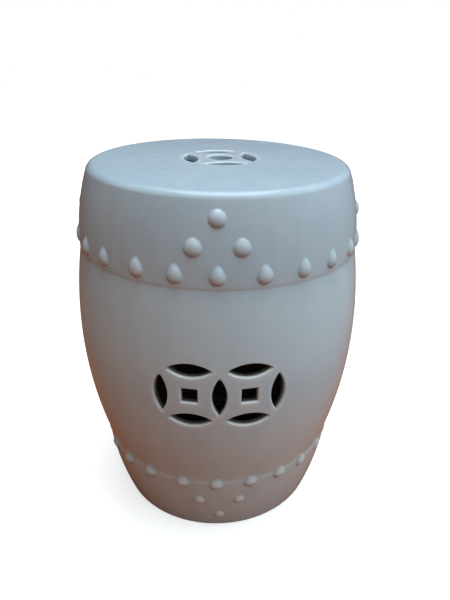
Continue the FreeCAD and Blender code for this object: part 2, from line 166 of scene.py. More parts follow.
def smooth(piece, degrees=40):
    """Shade smooth, but keep the corners that turn by more than the given angle."""
    choose(piece)
    bpy.ops.object.shade_smooth_by_angle(angle=math.radians(degrees))


def join(pieces, name):
    """Join finished pieces into the first one."""
    choose(*pieces)
    if len(pieces) > 1:
        bpy.ops.object.join()
    pieces[0].name = name
    return pieces[0]


# %% [markdown]
# ## Slabs
#
# A ring of the wall starts as a flat slab: its length is the way round the drum, its height
# is the ring's height and its thickness is the wall's. Straight cuts across it give it enough
# rows and columns to bend smoothly. The ends of the slab are opened, so that they can be
# luted together once it is round.

# %% Roll out a slab
COIN_LEVEL = 234 * MM
UNROLLED = BELLY.radius(COIN_LEVEL)
TURN = 2 * math.pi * UNROLLED


def slab(name, band, length, thickness=WALL):
    """A flat slab of the band's height: x runs round the drum, y inward, z up."""
    choose()
    middle = (0, thickness / 2, (band.low + band.high) / 2)
    size = (length, thickness, band.high - band.low)
    bpy.ops.mesh.primitive_cube_add(size=1, location=middle, scale=size)
    return settle(name)


def open_ends(piece, length):
    """Take away the two ends of the slab, which will meet once it is round."""
    edit(piece, "FACE")
    pick(piece, "faces", lambda face: abs(abs(face.calc_center_median().x) - length / 2) < HAIR)
    bpy.ops.mesh.delete(type="FACE")
    done()


def cut_across(piece, places, direction):
    """Cut the whole piece by planes across one axis, to give it rows or columns."""
    edit(piece, "EDGE")
    for place in places:
        bpy.ops.mesh.select_all(action="SELECT")
        bpy.ops.mesh.bisect(plane_co=Vector(direction) * place, plane_no=direction)
    done()


def steps(low, high, pitch):
    """Places between two ends, evenly spread at about the given pitch."""
    count = max(1, round((high - low) / pitch))
    return [low + (high - low) * (place + 0.5) / count for place in range(count)]


# %% [markdown]
# ## Bending a slab round
#
# Bending is one rule for every point: its place along the slab becomes an angle, its height
# stays, and its depth moves it from the outer face towards the inner one. Blender's Simple
# Deform could bend the slab, but it knows nothing of the swelling profile, so a few lines of
# code do both at once. The slab is as long as the drum is round at the coins' level, so the
# coins keep their size. The front of the drum is at -Y.

# %% Bend and close
def bend_round(piece, outer, inner, thickness=WALL):
    """Wrap a flat slab round the drum between an outer and an inner face."""
    for vertex in piece.data.vertices:
        along, depth, z = vertex.co
        outer_radius = outer(z)
        radius = outer_radius + (inner(z) - outer_radius) * depth / thickness
        angle = along / UNROLLED
        vertex.co = (radius * math.sin(angle), -radius * math.cos(angle), z)
    piece.data.update()


def close_seam(piece):
    """Lute the two ends together and see that every face looks outward."""
    edit(piece, "VERT")
    bpy.ops.mesh.select_all(action="SELECT")
    bpy.ops.mesh.remove_doubles(threshold=2 * HAIR)
    bpy.ops.mesh.normals_make_consistent(inside=False)
    done()
    print(piece.name, len(piece.data.polygons), "faces")


# %% [markdown]
# ## Soft edges between the rings
#
# The foot and the shoulder stand a little proud of the belly. Glaze runs over these joints
# while it melts: it rounds the proud edge off and settles in the corner beside it, so that on
# the real stool they are soft rolls in the surface rather than edges. Both changes fade with
# the distance from the joint, which an exponential says in one line. A bevel could round the
# edge, but it couldn't fill the corner.

# %% Faces of the three rings
LEDGE = 2.3 * MM
LIP = 0.8 * MM
LEDGE_REACH = 2.5 * MM
LEDGE_FILL_REACH = 3.5 * MM
LIP_REACH = 2 * MM


def settled(z, level, reach):
    """How much of the glaze at a joint is left at some distance from it."""
    return math.exp(-abs(z - level) / reach)


def foot_face(z):
    """The foot band's outer radius, with its upper edge rounded off."""
    return FOOT.radius(z) - 0.4 * LEDGE * settled(z, FOOT_LEVEL, LEDGE_REACH)


def belly_face(z):
    """The belly's outer radius, with glaze settled over the ledge and under the lip."""
    over_ledge = 0.6 * LEDGE * settled(z, FOOT_LEVEL, LEDGE_FILL_REACH)
    under_lip = 0.4 * LIP * settled(z, SHOULDER_LEVEL, LIP_REACH)
    return BELLY.radius(z) + over_ledge + under_lip


def shoulder_face(z):
    """The shoulder band's outer radius, with its lower edge rounded off."""
    return SHOULDER.radius(z) - 0.6 * LIP * settled(z, SHOULDER_LEVEL, LIP_REACH)


def wall_face(z):
    """The outer radius that shows at any height."""
    if z < FOOT_LEVEL:
        return foot_face(z)
    return belly_face(z) if z < SHOULDER_LEVEL else shoulder_face(z)


print("The wall's radius just over the ledge:", round(wall_face(FOOT_LEVEL + MM) / MM, 1), "mm")

# %% [markdown]
# ## The pierced coins
#
# Two linked coins let light and air through the wall: four petals and a square hole in each,
# with one petal shared. A petal is what two overlapping discs have in common, so that is how
# its cutter is made: two cylinders, and the Boolean modifier keeps their overlap. Its sharp
# points are then bevelled, because a potter's knife and the glaze leave them a little round.

# %% Cutters
COIN_RADIUS = 42.5 * MM
COIN_SPACING = 67.4 * MM
COIN_SQUARE = 18.5 * MM
SQUARE_CORNER = 0.9 * MM
PETAL_HALF_WIDTH = 8.4 * MM
PETAL_TIP = 1.2 * MM
CUTTER_LENGTH = 4 * WALL


def runs_through(edge):
    """Whether an edge of a cutter runs along Y, through the wall."""
    return abs(edge.verts[0].co.y - edge.verts[1].co.y) > WALL


def placed_copy(piece, move):
    """A copy with its own mesh, moved by a matrix that goes into the mesh."""
    copy = piece.copy()
    copy.data = piece.data.copy()
    copy.data.transform(move)
    bpy.context.scene.collection.objects.link(copy)
    return copy


discs = []
for side in (-1, 1):
    choose()
    bpy.ops.mesh.primitive_cylinder_add(
        vertices=144, radius=COIN_RADIUS, depth=CUTTER_LENGTH,
        location=(side * (COIN_RADIUS - PETAL_HALF_WIDTH), 0, 0), rotation=(math.pi / 2, 0, 0))
    discs.append(settle("petal_cutter"))
upright_petal, other = discs
apply_modifier(upright_petal, "BOOLEAN", operation="INTERSECT", solver="EXACT", object=other)
bpy.data.objects.remove(other)
tip = max(vertex.co.z for vertex in upright_petal.data.vertices)
edit(upright_petal, "EDGE")
round_off(upright_petal, lambda edge: runs_through(edge)
          and all(abs(abs(v.co.z) - tip) < 2 * HAIR for v in edge.verts), PETAL_TIP, 4)
done()

choose()
bpy.ops.mesh.primitive_cube_add(size=1, scale=(COIN_SQUARE, CUTTER_LENGTH, COIN_SQUARE))
square_hole = settle("square_cutter")
edit(square_hole, "EDGE")
round_off(square_hole, runs_through, SQUARE_CORNER, 4)
done()
LYING = Matrix.Rotation(math.pi / 2, 4, "Y")
print("The petal cutter is", [round(side / MM, 1) for side in upright_petal.dimensions], "mm")

# %% [markdown]
# All the cutters of one panel are set out on the flat slab: the upright petals left, middle
# and right, and in each coin a square and an upper and a lower petal. The potter cut by hand:
# the squares and the lower petals sit a millimetre higher than a compass would put them.

# %% Set out the panel
half = COIN_SPACING / 2
HAND_RISE = 1.2 * MM


def at(place, rise=0.0):
    """A move to a place on the slab, given in half spacings of the coins, and up by a rise."""
    return Matrix.Translation((place * half, 0, COIN_LEVEL + rise))


cutters = [placed_copy(upright_petal, at(place)) for place in (-2, 0, 2)]
for place in (-1, 1):
    cutters.append(placed_copy(square_hole, at(place, HAND_RISE)))
    for rise in (HAND_RISE - half, half):
        cutters.append(placed_copy(upright_petal, at(place, rise) @ LYING))
panel_cutter = join(cutters, "panel_cutter")
print("Holes in the panel:", len(cutters))

# %% [markdown]
# ## Cut, soften, bend
#
# The belly is made as two equal halves, each with its panel in the middle. The Boolean leaves
# knife-sharp rims. On the real stool glaze has rounded them into soft, pale edges, and this
# is the place to bevel them: the slab is still flat, so the bevel runs cleanly round every
# petal. Only then come the rows and columns, and the bending.

# %% The belly
HALF_TURN = TURN / 2
PANEL_HALF_LENGTH = 110 * MM
PANEL_HALF_HEIGHT = 60 * MM
FRONT_ROUND = 1.9 * MM
BACK_ROUND = 0.9 * MM


def in_panel(place):
    """Whether a place on the flat slab is within the panel of coins."""
    return abs(place.x) < PANEL_HALF_LENGTH and abs(place.z - COIN_LEVEL) < PANEL_HALF_HEIGHT


def rim_edge(edge, outward, inside):
    """Whether an edge is where a hole's wall meets the face that looks the given way."""
    if len(edge.link_faces) != 2:
        return False
    facing = sorted(face.normal.dot(Vector(outward)) for face in edge.link_faces)
    return facing[1] > 0.9 and abs(facing[0]) < 0.1 and all(inside(v.co) for v in edge.verts)


belly = slab("belly_half", BELLY, HALF_TURN)
apply_modifier(belly, "BOOLEAN", operation="DIFFERENCE", solver="EXACT", object=panel_cutter)
edit(belly, "EDGE")
front_rims = round_off(belly, lambda edge: rim_edge(edge, (0, -1, 0), in_panel), FRONT_ROUND, 5)
back_rims = round_off(belly, lambda edge: rim_edge(edge, (0, 1, 0), in_panel), BACK_ROUND, 3)
done()
open_ends(belly, HALF_TURN)
print("Rim edges softened:", front_rims, "outside and", back_rims, "inside")

# %% [markdown]
# The slab now gets its rows and columns, closer together at the two joints, where the surface
# will roll. Two more cuts run through the walls of the holes, parallel to the slab's faces:
# the glaze ends between them, and what lies deeper is bare clay, painted dark as shade.

# %% Rows and columns
NEAR_JOINT = [0.6 * MM, 1.4 * MM, 2.4 * MM, 3.6 * MM, 5.2 * MM, 7.2 * MM]
PITCH = 5 * MM
GLAZED_DEPTH = 2.8 * MM
BARE_AND_SHADED_DEPTH = 4.8 * MM
cut_across(belly, [GLAZED_DEPTH, BARE_AND_SHADED_DEPTH], (0, 1, 0))
rows = [BELLY.low + gap for gap in NEAR_JOINT] + [BELLY.high - gap for gap in NEAR_JOINT]
rows += steps(BELLY.low + 8 * MM, BELLY.high - 8 * MM, PITCH)
cut_across(belly, rows, (0, 0, 1))
cut_across(belly, steps(-HALF_TURN / 2, HALF_TURN / 2, PITCH), (1, 0, 0))
print("Rows cut:", len(rows))

# %% [markdown]
# Where the glaze is thin, where it pooled and where it never reached is known best here, while
# the piece is flat and its rims are easy to find. The thin mark is also a painted highlight on
# the rims that look up, the pooled one also painted shade, and where the glaze never reached is
# painted dark as shade. Each of the three is stored as a number per point, and the glaze reads
# them later. A texture could guess at the rims, but a mark follows them exactly. The rims are
# held in a tree of points that finds the nearest one to any place.

# %% Marks for the glaze
RIM_REACH = 3.2 * MM


def mark(piece, name, value_at):
    """Store a number per point under a name, for the glaze to read."""
    layer = piece.data.attributes.new(name, "FLOAT", "POINT")
    layer.data.foreach_set("value", [value_at(vertex) for vertex in piece.data.vertices])


def tree_of(piece, rule):
    """A tree of the piece's points for which the rule holds."""
    tree = kdtree.KDTree(len(piece.data.vertices))
    for vertex in piece.data.vertices:
        if rule(vertex.co):
            tree.insert(vertex.co, vertex.index)
    tree.balance()
    return tree


rim_tree = tree_of(belly, lambda place: in_panel(place) and 5 * HAIR < place.y < 2 * MM)


def thin_and_highlight_on_belly(vertex):
    """Pale thin glaze on the rims, and a painted highlight: only rims that look up get it, the lower
    ones of a hole.
    """
    index, gap = rim_tree.find(vertex.co)[1:]
    # Only rims that look up get the pale mark: a painted highlight from the light above.
    looking_up = min(1.0, max(0.0, 0.2 + belly.data.vertices[index].normal.z))
    return looking_up * max(0.0, 1.0 - gap / RIM_REACH)


# %% Marks of pooled glaze with painted shade, and of bare clay painted dark as shade
POOL_AND_SHADE_SHARE = 0.25
POOL_AND_SHADE_REACH = 2.5 * MM


def inner_on_wall(vertex):
    """The inner face, and the deep walls of any holes: bare clay, painted dark as shade."""
    return float(vertex.co.y > BARE_AND_SHADED_DEPTH - 10 * HAIR)


# A little more glaze gathers under the shoulder's lip, with painted shade there.
mark(belly, "thin_and_highlight", thin_and_highlight_on_belly)
mark(belly, "pooled_and_shade", lambda v: POOL_AND_SHADE_SHARE * settled(v.co.z, BELLY.high, POOL_AND_SHADE_REACH))
mark(belly, "inner", inner_on_wall)
print("Points marked:", len(belly.data.vertices))

# %% [markdown]
# The half is bent, copied and turned to the back, and the two are luted together. The weighted
# normals keep the wide faces between the holes looking flat and calm beside the narrow ones of
# the rims.

# %% Bend the halves and join them
bend_round(belly, belly_face, lambda z: BELLY.radius(z, WALL))
belly_rear = placed_copy(belly, Matrix.Rotation(math.pi, 4, "Z"))
belly = join([belly, belly_rear], "belly_wall_glazed")
close_seam(belly)
smooth(belly)
apply_modifier(belly, "WEIGHTED_NORMAL", keep_sharp=True)

# %% [markdown]
# ## Shoulder and foot bands
#
# These two rings have no holes, so nothing is cut on the flat slab. Each gets its rows, close
# together near its joint with the belly where the surface rolls, and its columns, and is bent
# all the way round.

# %% Bend the two bands
ROW_PITCH = 4 * MM
COLUMN_PITCH = 5.9 * MM
ROLL_HEIGHT = 9 * MM


def plain_band(name, band, face, joint, pooled_and_shade):
    """A ring of the wall without holes, with a softened edge at its joint with the belly."""
    piece = slab(name, band, TURN)
    open_ends(piece, TURN)
    inward = 1 if joint == band.low else -1
    rows = [joint + inward * gap for gap in NEAR_JOINT]
    rows += [z for z in steps(band.low, band.high, ROW_PITCH) if abs(z - joint) > ROLL_HEIGHT]
    cut_across(piece, rows, (0, 0, 1))
    cut_across(piece, steps(-TURN / 2, TURN / 2, COLUMN_PITCH), (1, 0, 0))
    mark(piece, "thin_and_highlight", lambda v: 0.0)
    # Pooled glaze with painted shade along the joint, by the given share.
    mark(piece, "pooled_and_shade", lambda v: pooled_and_shade * settled(v.co.z, joint, POOL_AND_SHADE_REACH))
    mark(piece, "inner", inner_on_wall)
    bend_round(piece, face, lambda z: band.radius(z, WALL))
    close_seam(piece)
    smooth(piece)
    return piece


shoulder = plain_band("shoulder_band_glazed", SHOULDER, shoulder_face, SHOULDER.low, POOL_AND_SHADE_SHARE)
foot = plain_band("foot_band_glazed", FOOT, foot_face, FOOT.high, 0.0)

# %% [markdown]
# ## The seat
#
# The seat is a disc with a generously rounded edge, pierced with a finger hole and four
# petals, and a little higher in the middle so that rain runs off. It starts as a truncated
# cone, so that its side carries on the lean of the shoulder below it. The top edge is
# bevelled in nine steps, the holes are cut and softened, and the flat faces are divided
# before the crown is raised.

# %% Disc and rounded edge
SEAT_RADIUS = 160.5 * MM
SEAT_THICK = 10 * MM
SEAT_CROWN = 3 * MM
EDGE_ROUND = 9.5 * MM

lean = SHOULDER.tilt(SEAT_LEVEL)
corner_radius = SEAT_RADIUS - SEAT_THICK * math.tan(lean)
edge_offset = EDGE_ROUND * math.tan((math.pi / 2 - lean) / 2)
top_level = SEAT_LEVEL + SEAT_THICK
middle_level = SEAT_LEVEL + SEAT_THICK / 2
choose()
bpy.ops.mesh.primitive_cone_add(vertices=192, radius1=SEAT_RADIUS, radius2=corner_radius,
                                depth=SEAT_THICK, location=(0, 0, middle_level))
seat = settle("seat_slab_glazed")
edit(seat, "EDGE")
round_off(seat, lambda edge: all(abs(v.co.z - top_level) < HAIR for v in edge.verts), edge_offset, 9)
done()
FLAT_RADIUS = corner_radius - edge_offset
print("The seat's flat face is", round(FLAT_RADIUS / MM, 1), "mm in radius")

# %% Pierce the seat
HOLE_RADIUS = 15 * MM
SEAT_COIN = 44 * MM
SEAT_COIN_REACH = SEAT_COIN + 12 * MM
SEAT_TURN = math.radians(9)
STANDING = Matrix.Rotation(math.pi / 2, 4, "X")

choose()
bpy.ops.mesh.primitive_cylinder_add(vertices=64, radius=HOLE_RADIUS, depth=6 * SEAT_THICK,
                                    location=(0, 0, SEAT_LEVEL))
seat_cutters = [settle("finger_hole_cutter")]
for quarter in range(4):
    turn = Matrix.Rotation(SEAT_TURN + quarter * math.pi / 2, 4, "Z")
    move = Matrix.Translation((SEAT_COIN - PETAL_HALF_WIDTH, 0, middle_level))
    seat_cutters.append(placed_copy(upright_petal, turn @ move @ STANDING))
seat_cutter = join(seat_cutters, "seat_cutter")
apply_modifier(seat, "BOOLEAN", operation="DIFFERENCE", solver="EXACT", object=seat_cutter)
print("Holes in the seat:", len(seat_cutters))

# %% Soften the seat's rims
TOP_ROUND = 2.0 * MM


def in_coin(place):
    """Whether a place on the seat is within its coin."""
    return place.xy.length < SEAT_COIN_REACH


edit(seat, "EDGE")
top_rims = round_off(seat, lambda edge: rim_edge(edge, (0, 0, 1), in_coin), TOP_ROUND, 5)
under_rims = round_off(seat, lambda edge: rim_edge(edge, (0, 0, -1), in_coin), BACK_ROUND, 3)
done()
print("Rim edges softened:", top_rims, "above and", under_rims, "below")

# %% [markdown]
# The crown needs points to lift, so the level faces are cut by a square grid, and only they:
# a cut through the rounded edge would show in its shine. One more cut, through the walls of
# the holes, is where their glaze ends and the painted shade below begins. The marks are made
# before the crown is raised, for the same reason as on the belly.

# %% Divide the seat's faces
GRID_PITCH = 8 * MM
SEAT_BARE_AND_SHADED_LEVEL = SEAT_LEVEL + 3 * MM

seat_rim_tree = tree_of(seat, lambda place: in_coin(place)
                        and top_level - TOP_ROUND < place.z < top_level - 5 * HAIR)
edit(seat, "FACE")
for direction in ((1, 0, 0), (0, 1, 0)):
    for place in steps(-SEAT_RADIUS, SEAT_RADIUS, GRID_PITCH):
        pick(seat, "faces", lambda face: abs(face.normal.z) > 0.999)
        bpy.ops.mesh.bisect(plane_co=Vector(direction) * place, plane_no=direction)
pick(seat, "faces", lambda face: abs(face.normal.z) < 0.2 and in_coin(face.calc_center_median()))
bpy.ops.mesh.bisect(plane_co=(0, 0, SEAT_BARE_AND_SHADED_LEVEL), plane_no=(0, 0, 1))
done()
print("The seat has", len(seat.data.polygons), "faces")

# %% Mark the seat and raise its crown
SEAT_THIN = 0.45
SEAT_RIM_REACH = 2.5 * MM
UNDERSIDE_LEVEL = SEAT_LEVEL + 1.5 * MM
UNDERSIDE_RADIUS = 150 * MM

# Glaze lies thinner on the rims of the holes. The underside within the drum is bare, painted dark as
# shade.
mark(seat, "thin_and_highlight", lambda v: SEAT_THIN * max(0.0, 1.0 - seat_rim_tree.find(v.co)[2] / SEAT_RIM_REACH))
mark(seat, "pooled_and_shade", lambda v: 0.0)
mark(seat, "inner", lambda v: float(v.co.z < UNDERSIDE_LEVEL and v.co.xy.length < UNDERSIDE_RADIUS))
for vertex in seat.data.vertices:
    part_out = min(1.0, vertex.co.xy.length / FLAT_RADIUS)
    vertex.co.z += SEAT_CROWN * (1 - part_out ** 2)
seat.data.update()
smooth(seat)
apply_modifier(seat, "WEIGHTED_NORMAL", keep_sharp=True)
print("The seat is", [round(side / MM, 1) for side in seat.dimensions], "mm")

# %% [markdown]
# ## The standing ring
#
# Inside the foot a bare ring of clay widens the face that the stool stands on. Its outer side
# fits the inside of the foot band and its inner side is straight. It too is a slab bent
# round, only between other faces. It is wiped clean underneath, and above that painted dark as
# shade, like the rest of the inside where it looks into the drum.

# %% Bend the standing ring
RING_HEIGHT = 12 * MM
RING_INSIDE = 121 * MM
RING_TOP_ROUND = 3.6 * MM
RING_FOOT_ROUND = 0.8 * MM
RING_SHADED_ABOVE = 5 * MM
ring_thick = FOOT.radius(0, WALL) - RING_INSIDE
ring_band = Band(0.0, RING_HEIGHT, 1.0, 1.0, 0.1 * MM)
ring = slab("standing_ring_bare", ring_band, TURN, ring_thick)


def ring_edge(edge, level):
    """Whether an edge runs along the ring's inner side at the given level."""
    return all(v.co.y > ring_thick - HAIR and abs(v.co.z - level) < HAIR for v in edge.verts)


edit(ring, "EDGE")
round_off(ring, lambda edge: ring_edge(edge, RING_HEIGHT), RING_TOP_ROUND, 3)
round_off(ring, lambda edge: ring_edge(edge, 0.0), RING_FOOT_ROUND, 3)
done()
open_ends(ring, TURN)
cut_across(ring, [4 * MM, 8 * MM], (0, 0, 1))
cut_across(ring, steps(-TURN / 2, TURN / 2, COLUMN_PITCH), (1, 0, 0))
bend_round(ring, lambda z: FOOT.radius(z, WALL), lambda z: RING_INSIDE, ring_thick)
close_seam(ring)
# Painted shade on the ring above its standing face, where it looks into the drum.
mark(ring, "inner", lambda v: float(v.co.z > RING_SHADED_ABOVE))
smooth(ring)

# %% [markdown]
# ## One boss
#
# The small domed bosses stand for the nails that hold the skin of a drum. Each is a lump of
# clay pressed on, and the glaze fills the corner round it into a hollow flare, so that a boss
# rises out of the wall like a bell. The bell's plan is made first: a circle, inset again and
# again towards the middle, gives rings of points. Its height at each ring is worked out later,
# together with the wall that it sits on.

# %% Rings of points for a boss
BOSS_HEIGHT = 4.2 * MM
NECK_RADIUS = 8.6 * MM
NECK_HEIGHT = 1.1 * MM
FLARE_END = 10.8 * MM
SKIRT_RADIUS = 12 * MM
PLUMPNESS = 0.72
DOME_PART = 0.97
NECK_SHARE = (1 - DOME_PART ** 2) ** PLUMPNESS
RING_STEPS = (0.8, 0.8, 0.7, 0.6, 0.5, 0.4, 0.4, 0.5, 0.6, 0.8, 1.0, 1.1, 1.2, 1.2)


def bell(distance):
    """Height of a boss over the wall at a distance from its middle: a dome, then a hollow flare."""
    if distance < NECK_RADIUS:
        out = DOME_PART * distance / NECK_RADIUS
        share = ((1 - out * out) ** PLUMPNESS - NECK_SHARE) / (1 - NECK_SHARE)
        return NECK_HEIGHT + (BOSS_HEIGHT - NECK_HEIGHT) * share
    if distance < FLARE_END:
        return NECK_HEIGHT * ((FLARE_END - distance) / (FLARE_END - NECK_RADIUS)) ** 2
    return 0.0


choose()
bpy.ops.mesh.primitive_circle_add(vertices=36, radius=SKIRT_RADIUS, fill_type="NGON")
boss_plan = settle("boss_plan")
edit(boss_plan, "FACE")
bpy.ops.mesh.select_all(action="SELECT")
for ring_step in RING_STEPS:
    bpy.ops.mesh.inset(thickness=ring_step * MM, use_boundary=True, use_even_offset=False)
bpy.ops.mesh.poke()
done()
print("A boss has", len(boss_plan.data.polygons), "faces")

# %% [markdown]
# ## Pressing the bosses on
#
# A boss follows the wall under it, which curves both ways, and the lower row even sits across
# the ledge of the foot band. So each copy's points are laid out along the wall first and then
# lifted by the bell's height. Across the ledge the lift starts from a wall whose step is
# softened, and the outermost points are tucked just under the surface, so that nothing shows
# where a boss begins. No two hand-pressed lumps are quite alike, so size, height and place
# differ a little, from a seeded random number.

# %% Wall under the bosses
LEDGE_NEAR = 20 * MM
LEDGE_SPREAD = (FOOT_LEVEL - 5 * MM, FOOT_LEVEL + 7 * MM)


def soft_step(value):
    """A smooth change from 0 to 1 as the value goes from 0 to 1."""
    value = min(1.0, max(0.0, value))
    return value * value * (3 - 2 * value)


def fade(value, start, end):
    """1 up to the start, 0 from the end on, and a smooth change between."""
    return 1 - soft_step((value - start) / (end - start))


def softened_wall(z):
    """The wall with its ledge spread out still more, for a boss that sits across it."""
    if abs(z - FOOT_LEVEL) > LEDGE_NEAR:
        return wall_face(z)
    foot_share = fade(z, *LEDGE_SPREAD)
    return FOOT.radius(z) * foot_share + BELLY.radius(z) * (1 - foot_share)


print("The wall's radius across the ledge:", round(softened_wall(FOOT_LEVEL) / MM, 1), "mm")

# %% [markdown]
# The bosses of a row are slimmer than the others and drawn out upward to a point, as if the
# thumb that pressed them on had slid. Those of the lower triangles are smaller. So each line
# has its own shape, besides its level and the band that carries it.

# %% Lines of bosses
BossLine = namedtuple("BossLine", "band level size slim point drawn")
BOSS_LINES = {
    "upper_row": BossLine(SHOULDER, 374 * MM, size=1.0, slim=0.92, point=0.22, drawn=0.36),
    "upper_pair": BossLine(SHOULDER, 404.1 * MM, size=1.0, slim=0.97, point=0.15, drawn=0.06),
    "upper_tip": BossLine(SHOULDER, 433.2 * MM, size=1.0, slim=0.95, point=0.05, drawn=0.0),
    "lower_row": BossLine(FOOT, 88 * MM, size=0.95, slim=0.97, point=0.1, drawn=0.1),
    "lower_pair": BossLine(FOOT, 57 * MM, size=0.78, slim=0.98, point=0.1, drawn=0.1),
    "lower_tip": BossLine(FOOT, 26 * MM, size=0.78, slim=0.95, point=0.1, drawn=0.1),
}
print("Levels of the bosses:", [round(line.level / MM, 1) for line in BOSS_LINES.values()])

# %% [markdown]
# The marks say how the glaze lies on a boss and how light falls on it: thin and pale, with a
# painted highlight, on its top and upper side, and gathered, with painted shade, in the corner
# under its lower side. Both fade with the distance from the boss's middle, and with how far up
# or down from it a point is, in parts of the neck's radius.

# %% Press a boss on
TUCK = 0.5 * MM
# A boss's pale upper side is partly a painted highlight, and its dark lower side partly painted
# shade.
BOSS_THIN_AND_HIGHLIGHT = 0.36
THIN_AND_HIGHLIGHT_FADE = (5 * MM, 9 * MM)
THIN_AND_HIGHLIGHT_UPWARD = (-0.75, 0.9167)
POOL_AND_SHADE_FADE = (9.4 * MM, 11 * MM)
POOL_AND_SHADE_UPWARD = (-0.9192, -0.15)
BLEND_FADE = (9 * MM, FLARE_END)


def press_boss(name, angle, chance, slip=0.0, rise=0.0, worn=1.0):
    """One boss of a line on the wall: its points laid along the wall and lifted by the bell."""
    line = BOSS_LINES[name]
    band, level, size = line.band, line.level, line.size
    piece = placed_copy(boss_plan, Matrix.Identity(4))
    width = 1 + chance.uniform(-0.03, 0.03)
    height = worn * (1 + chance.uniform(-0.05, 0.05))
    angle += (slip + chance.uniform(-0.3, 0.3) * MM) / band.radius(level)
    level += rise + chance.uniform(-0.35, 0.35) * MM
    thin_and_highlight, pooled_and_shade = [], []
    for vertex in piece.data.vertices:
        across, up = vertex.co.x, vertex.co.y
        distance = math.hypot(across, up) / width
        upward = up / NECK_RADIUS
        # Painted highlight on the upper side; pooled glaze with painted shade under the lower side.
        thin_and_highlight.append(BOSS_THIN_AND_HIGHLIGHT * fade(distance, *THIN_AND_HIGHLIGHT_FADE) * (1 - fade(upward, *THIN_AND_HIGHLIGHT_UPWARD)))
        pooled_and_shade.append(fade(distance, *POOL_AND_SHADE_FADE) * fade(upward, *POOL_AND_SHADE_UPWARD))
        across *= size * line.slim
        if up > 0:
            across *= 1 - line.point * up / SKIRT_RADIUS
            up *= 1 + line.drawn * up / SKIRT_RADIUS
        lift = bell(distance) * height * size
        tilt = band.tilt(level) + up * size / band.arc
        z = band.z + (band.arc + lift) * math.sin(tilt)
        radius = softened_wall(z) + lift * math.cos(tilt)
        wall = wall_face(z)
        radius = wall + max(0.0, radius - wall) * fade(distance, *BLEND_FADE)
        if distance > FLARE_END:
            radius = wall - TUCK * (distance - FLARE_END) / (SKIRT_RADIUS - FLARE_END)
        turn = angle + across / band.radius(level)
        vertex.co = (radius * math.sin(turn), -radius * math.cos(turn), z)
    piece.data.update()
    mark(piece, "thin_and_highlight", lambda v: thin_and_highlight[v.index])
    mark(piece, "pooled_and_shade", lambda v: pooled_and_shade[v.index])
    mark(piece, "inner", lambda v: 0.0)
    return piece


# %% [markdown]
# Each side of the drum has a quarter of the row of twenty-four and a triangle of three more,
# pointing at the seat above and at the floor below. A quarter of a row is one piece, and each
# boss of a triangle is its own, just as the model's parts are. The bosses of the real rows
# aren't quite where a ruler would put them, and those at the sides are worn flatter. The
# tables give that by the place in the row, counted from the front, to the right.

# %% Where the bosses go
ROW_COUNT = 24
SPACINGS = {"upper": 49.2 * MM, "lower": 50.6 * MM}
ROW_TURNS = {"upper": 0.0, "lower": math.radians(-1.9)}
SIDES = ("front", "right", "back", "left")
TRIANGLE_TURNS = {"upper": (-1, 92, 180, -99), "lower": (0, 92, 180, -99)}
# By how many millimetres a boss of a row has slipped along the wall.
SLIPS = {
    "upper": {-3: -3.4, -1: -1.4, 0: -2.8, 1: 0.7, 2: 2.0},
    "lower": {-3: -3.3, -2: -5.0, 0: 1.4, 1: 4.0, 2: 3.4},
}
# By how many millimetres it sits above its line.
RISES = {"upper": {-5: 1.5, 5: -3.0}, "lower": {}}
# Which share of its height it still has.
WORN = {"upper": {-5: 0.7, 5: 0.85}, "lower": {-5: 0.3, 5: 0.3, -4: 0.85, 4: 0.85}}
print("Bosses in all:", 2 * (ROW_COUNT + 3 * len(SIDES)))

# %% Set out the bosses
boss_pieces = {}
chance = random.Random(24)
for height in ("upper", "lower"):
    for number, side in enumerate(SIDES):
        row = []
        for place in range(number * 6 - 2, number * 6 + 4):
            count = place - ROW_COUNT if place > ROW_COUNT / 2 else place
            slip = SLIPS[height].get(count, 0.0) * MM
            rise = RISES[height].get(count, 0.0) * MM
            worn = WORN[height].get(count, 1.0)
            angle = ROW_TURNS[height] + place * 2 * math.pi / ROW_COUNT
            row.append(press_boss(f"{height}_row", angle, chance, slip, rise, worn))
        boss_pieces[f"{height}_row_bosses_{side}"] = row
        facing = math.radians(TRIANGLE_TURNS[height][number])
        pair = BOSS_LINES[f"{height}_pair"]
        turn = SPACINGS[height] / 2 / pair.band.radius(pair.level)
        for end, sign in (("left", -1), ("right", 1)):
            boss = press_boss(f"{height}_pair", facing + sign * turn, chance)
            boss_pieces[f"{height}_pair_boss_{side}_{end}"] = [boss]
        boss_pieces[f"{height}_tip_boss_{side}"] = [press_boss(f"{height}_tip", facing, chance)]
bosses = {node: join(group, f"{node}_glazed") for node, group in boss_pieces.items()}
for piece in bosses.values():
    smooth(piece, 60)
print("Pieces of bosses:", len(bosses))

for tool in (upright_petal, square_hole, panel_cutter, seat_cutter, boss_plan):
    bpy.data.objects.remove(tool)

# %% [markdown]
# ## Each piece takes the place of its solid
#
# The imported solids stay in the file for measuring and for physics, but these pieces are what
# is seen. Every one rides on the stool's single body.

# %% Pieces and nodes
glazed = {"seat_slab": seat, "shoulder_band": shoulder, "belly_wall": belly, "foot_band": foot}
glazed.update(bosses)
for node, piece in glazed.items():
    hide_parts(node)
    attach(piece, "root")
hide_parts("standing_ring")
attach(ring, "root")
print("Pieces that show:", len(glazed) + 1)

# %% [markdown]
# ## The glaze
#
# The glaze is pale, cool and glossy. Close up it is never one colour: it clouds a little from
# place to place and runs in faint streaks down the wall. A painted sheen makes it lighter and
# bluer on the upper belly, and painted shade greyer towards the foot. It is paler where it is
# thin over rims and boss tops, with a painted highlight where they look up, and darker and
# browner where it gathers, with painted shade. The inside is painted dark as shade. A few iron
# specks show through. All of it is painted by procedural textures on object coordinates, so no
# picture is needed and nothing slides. Clouding, specks and surface waves are node groups,
# because the bare clay uses the same ones with other numbers.

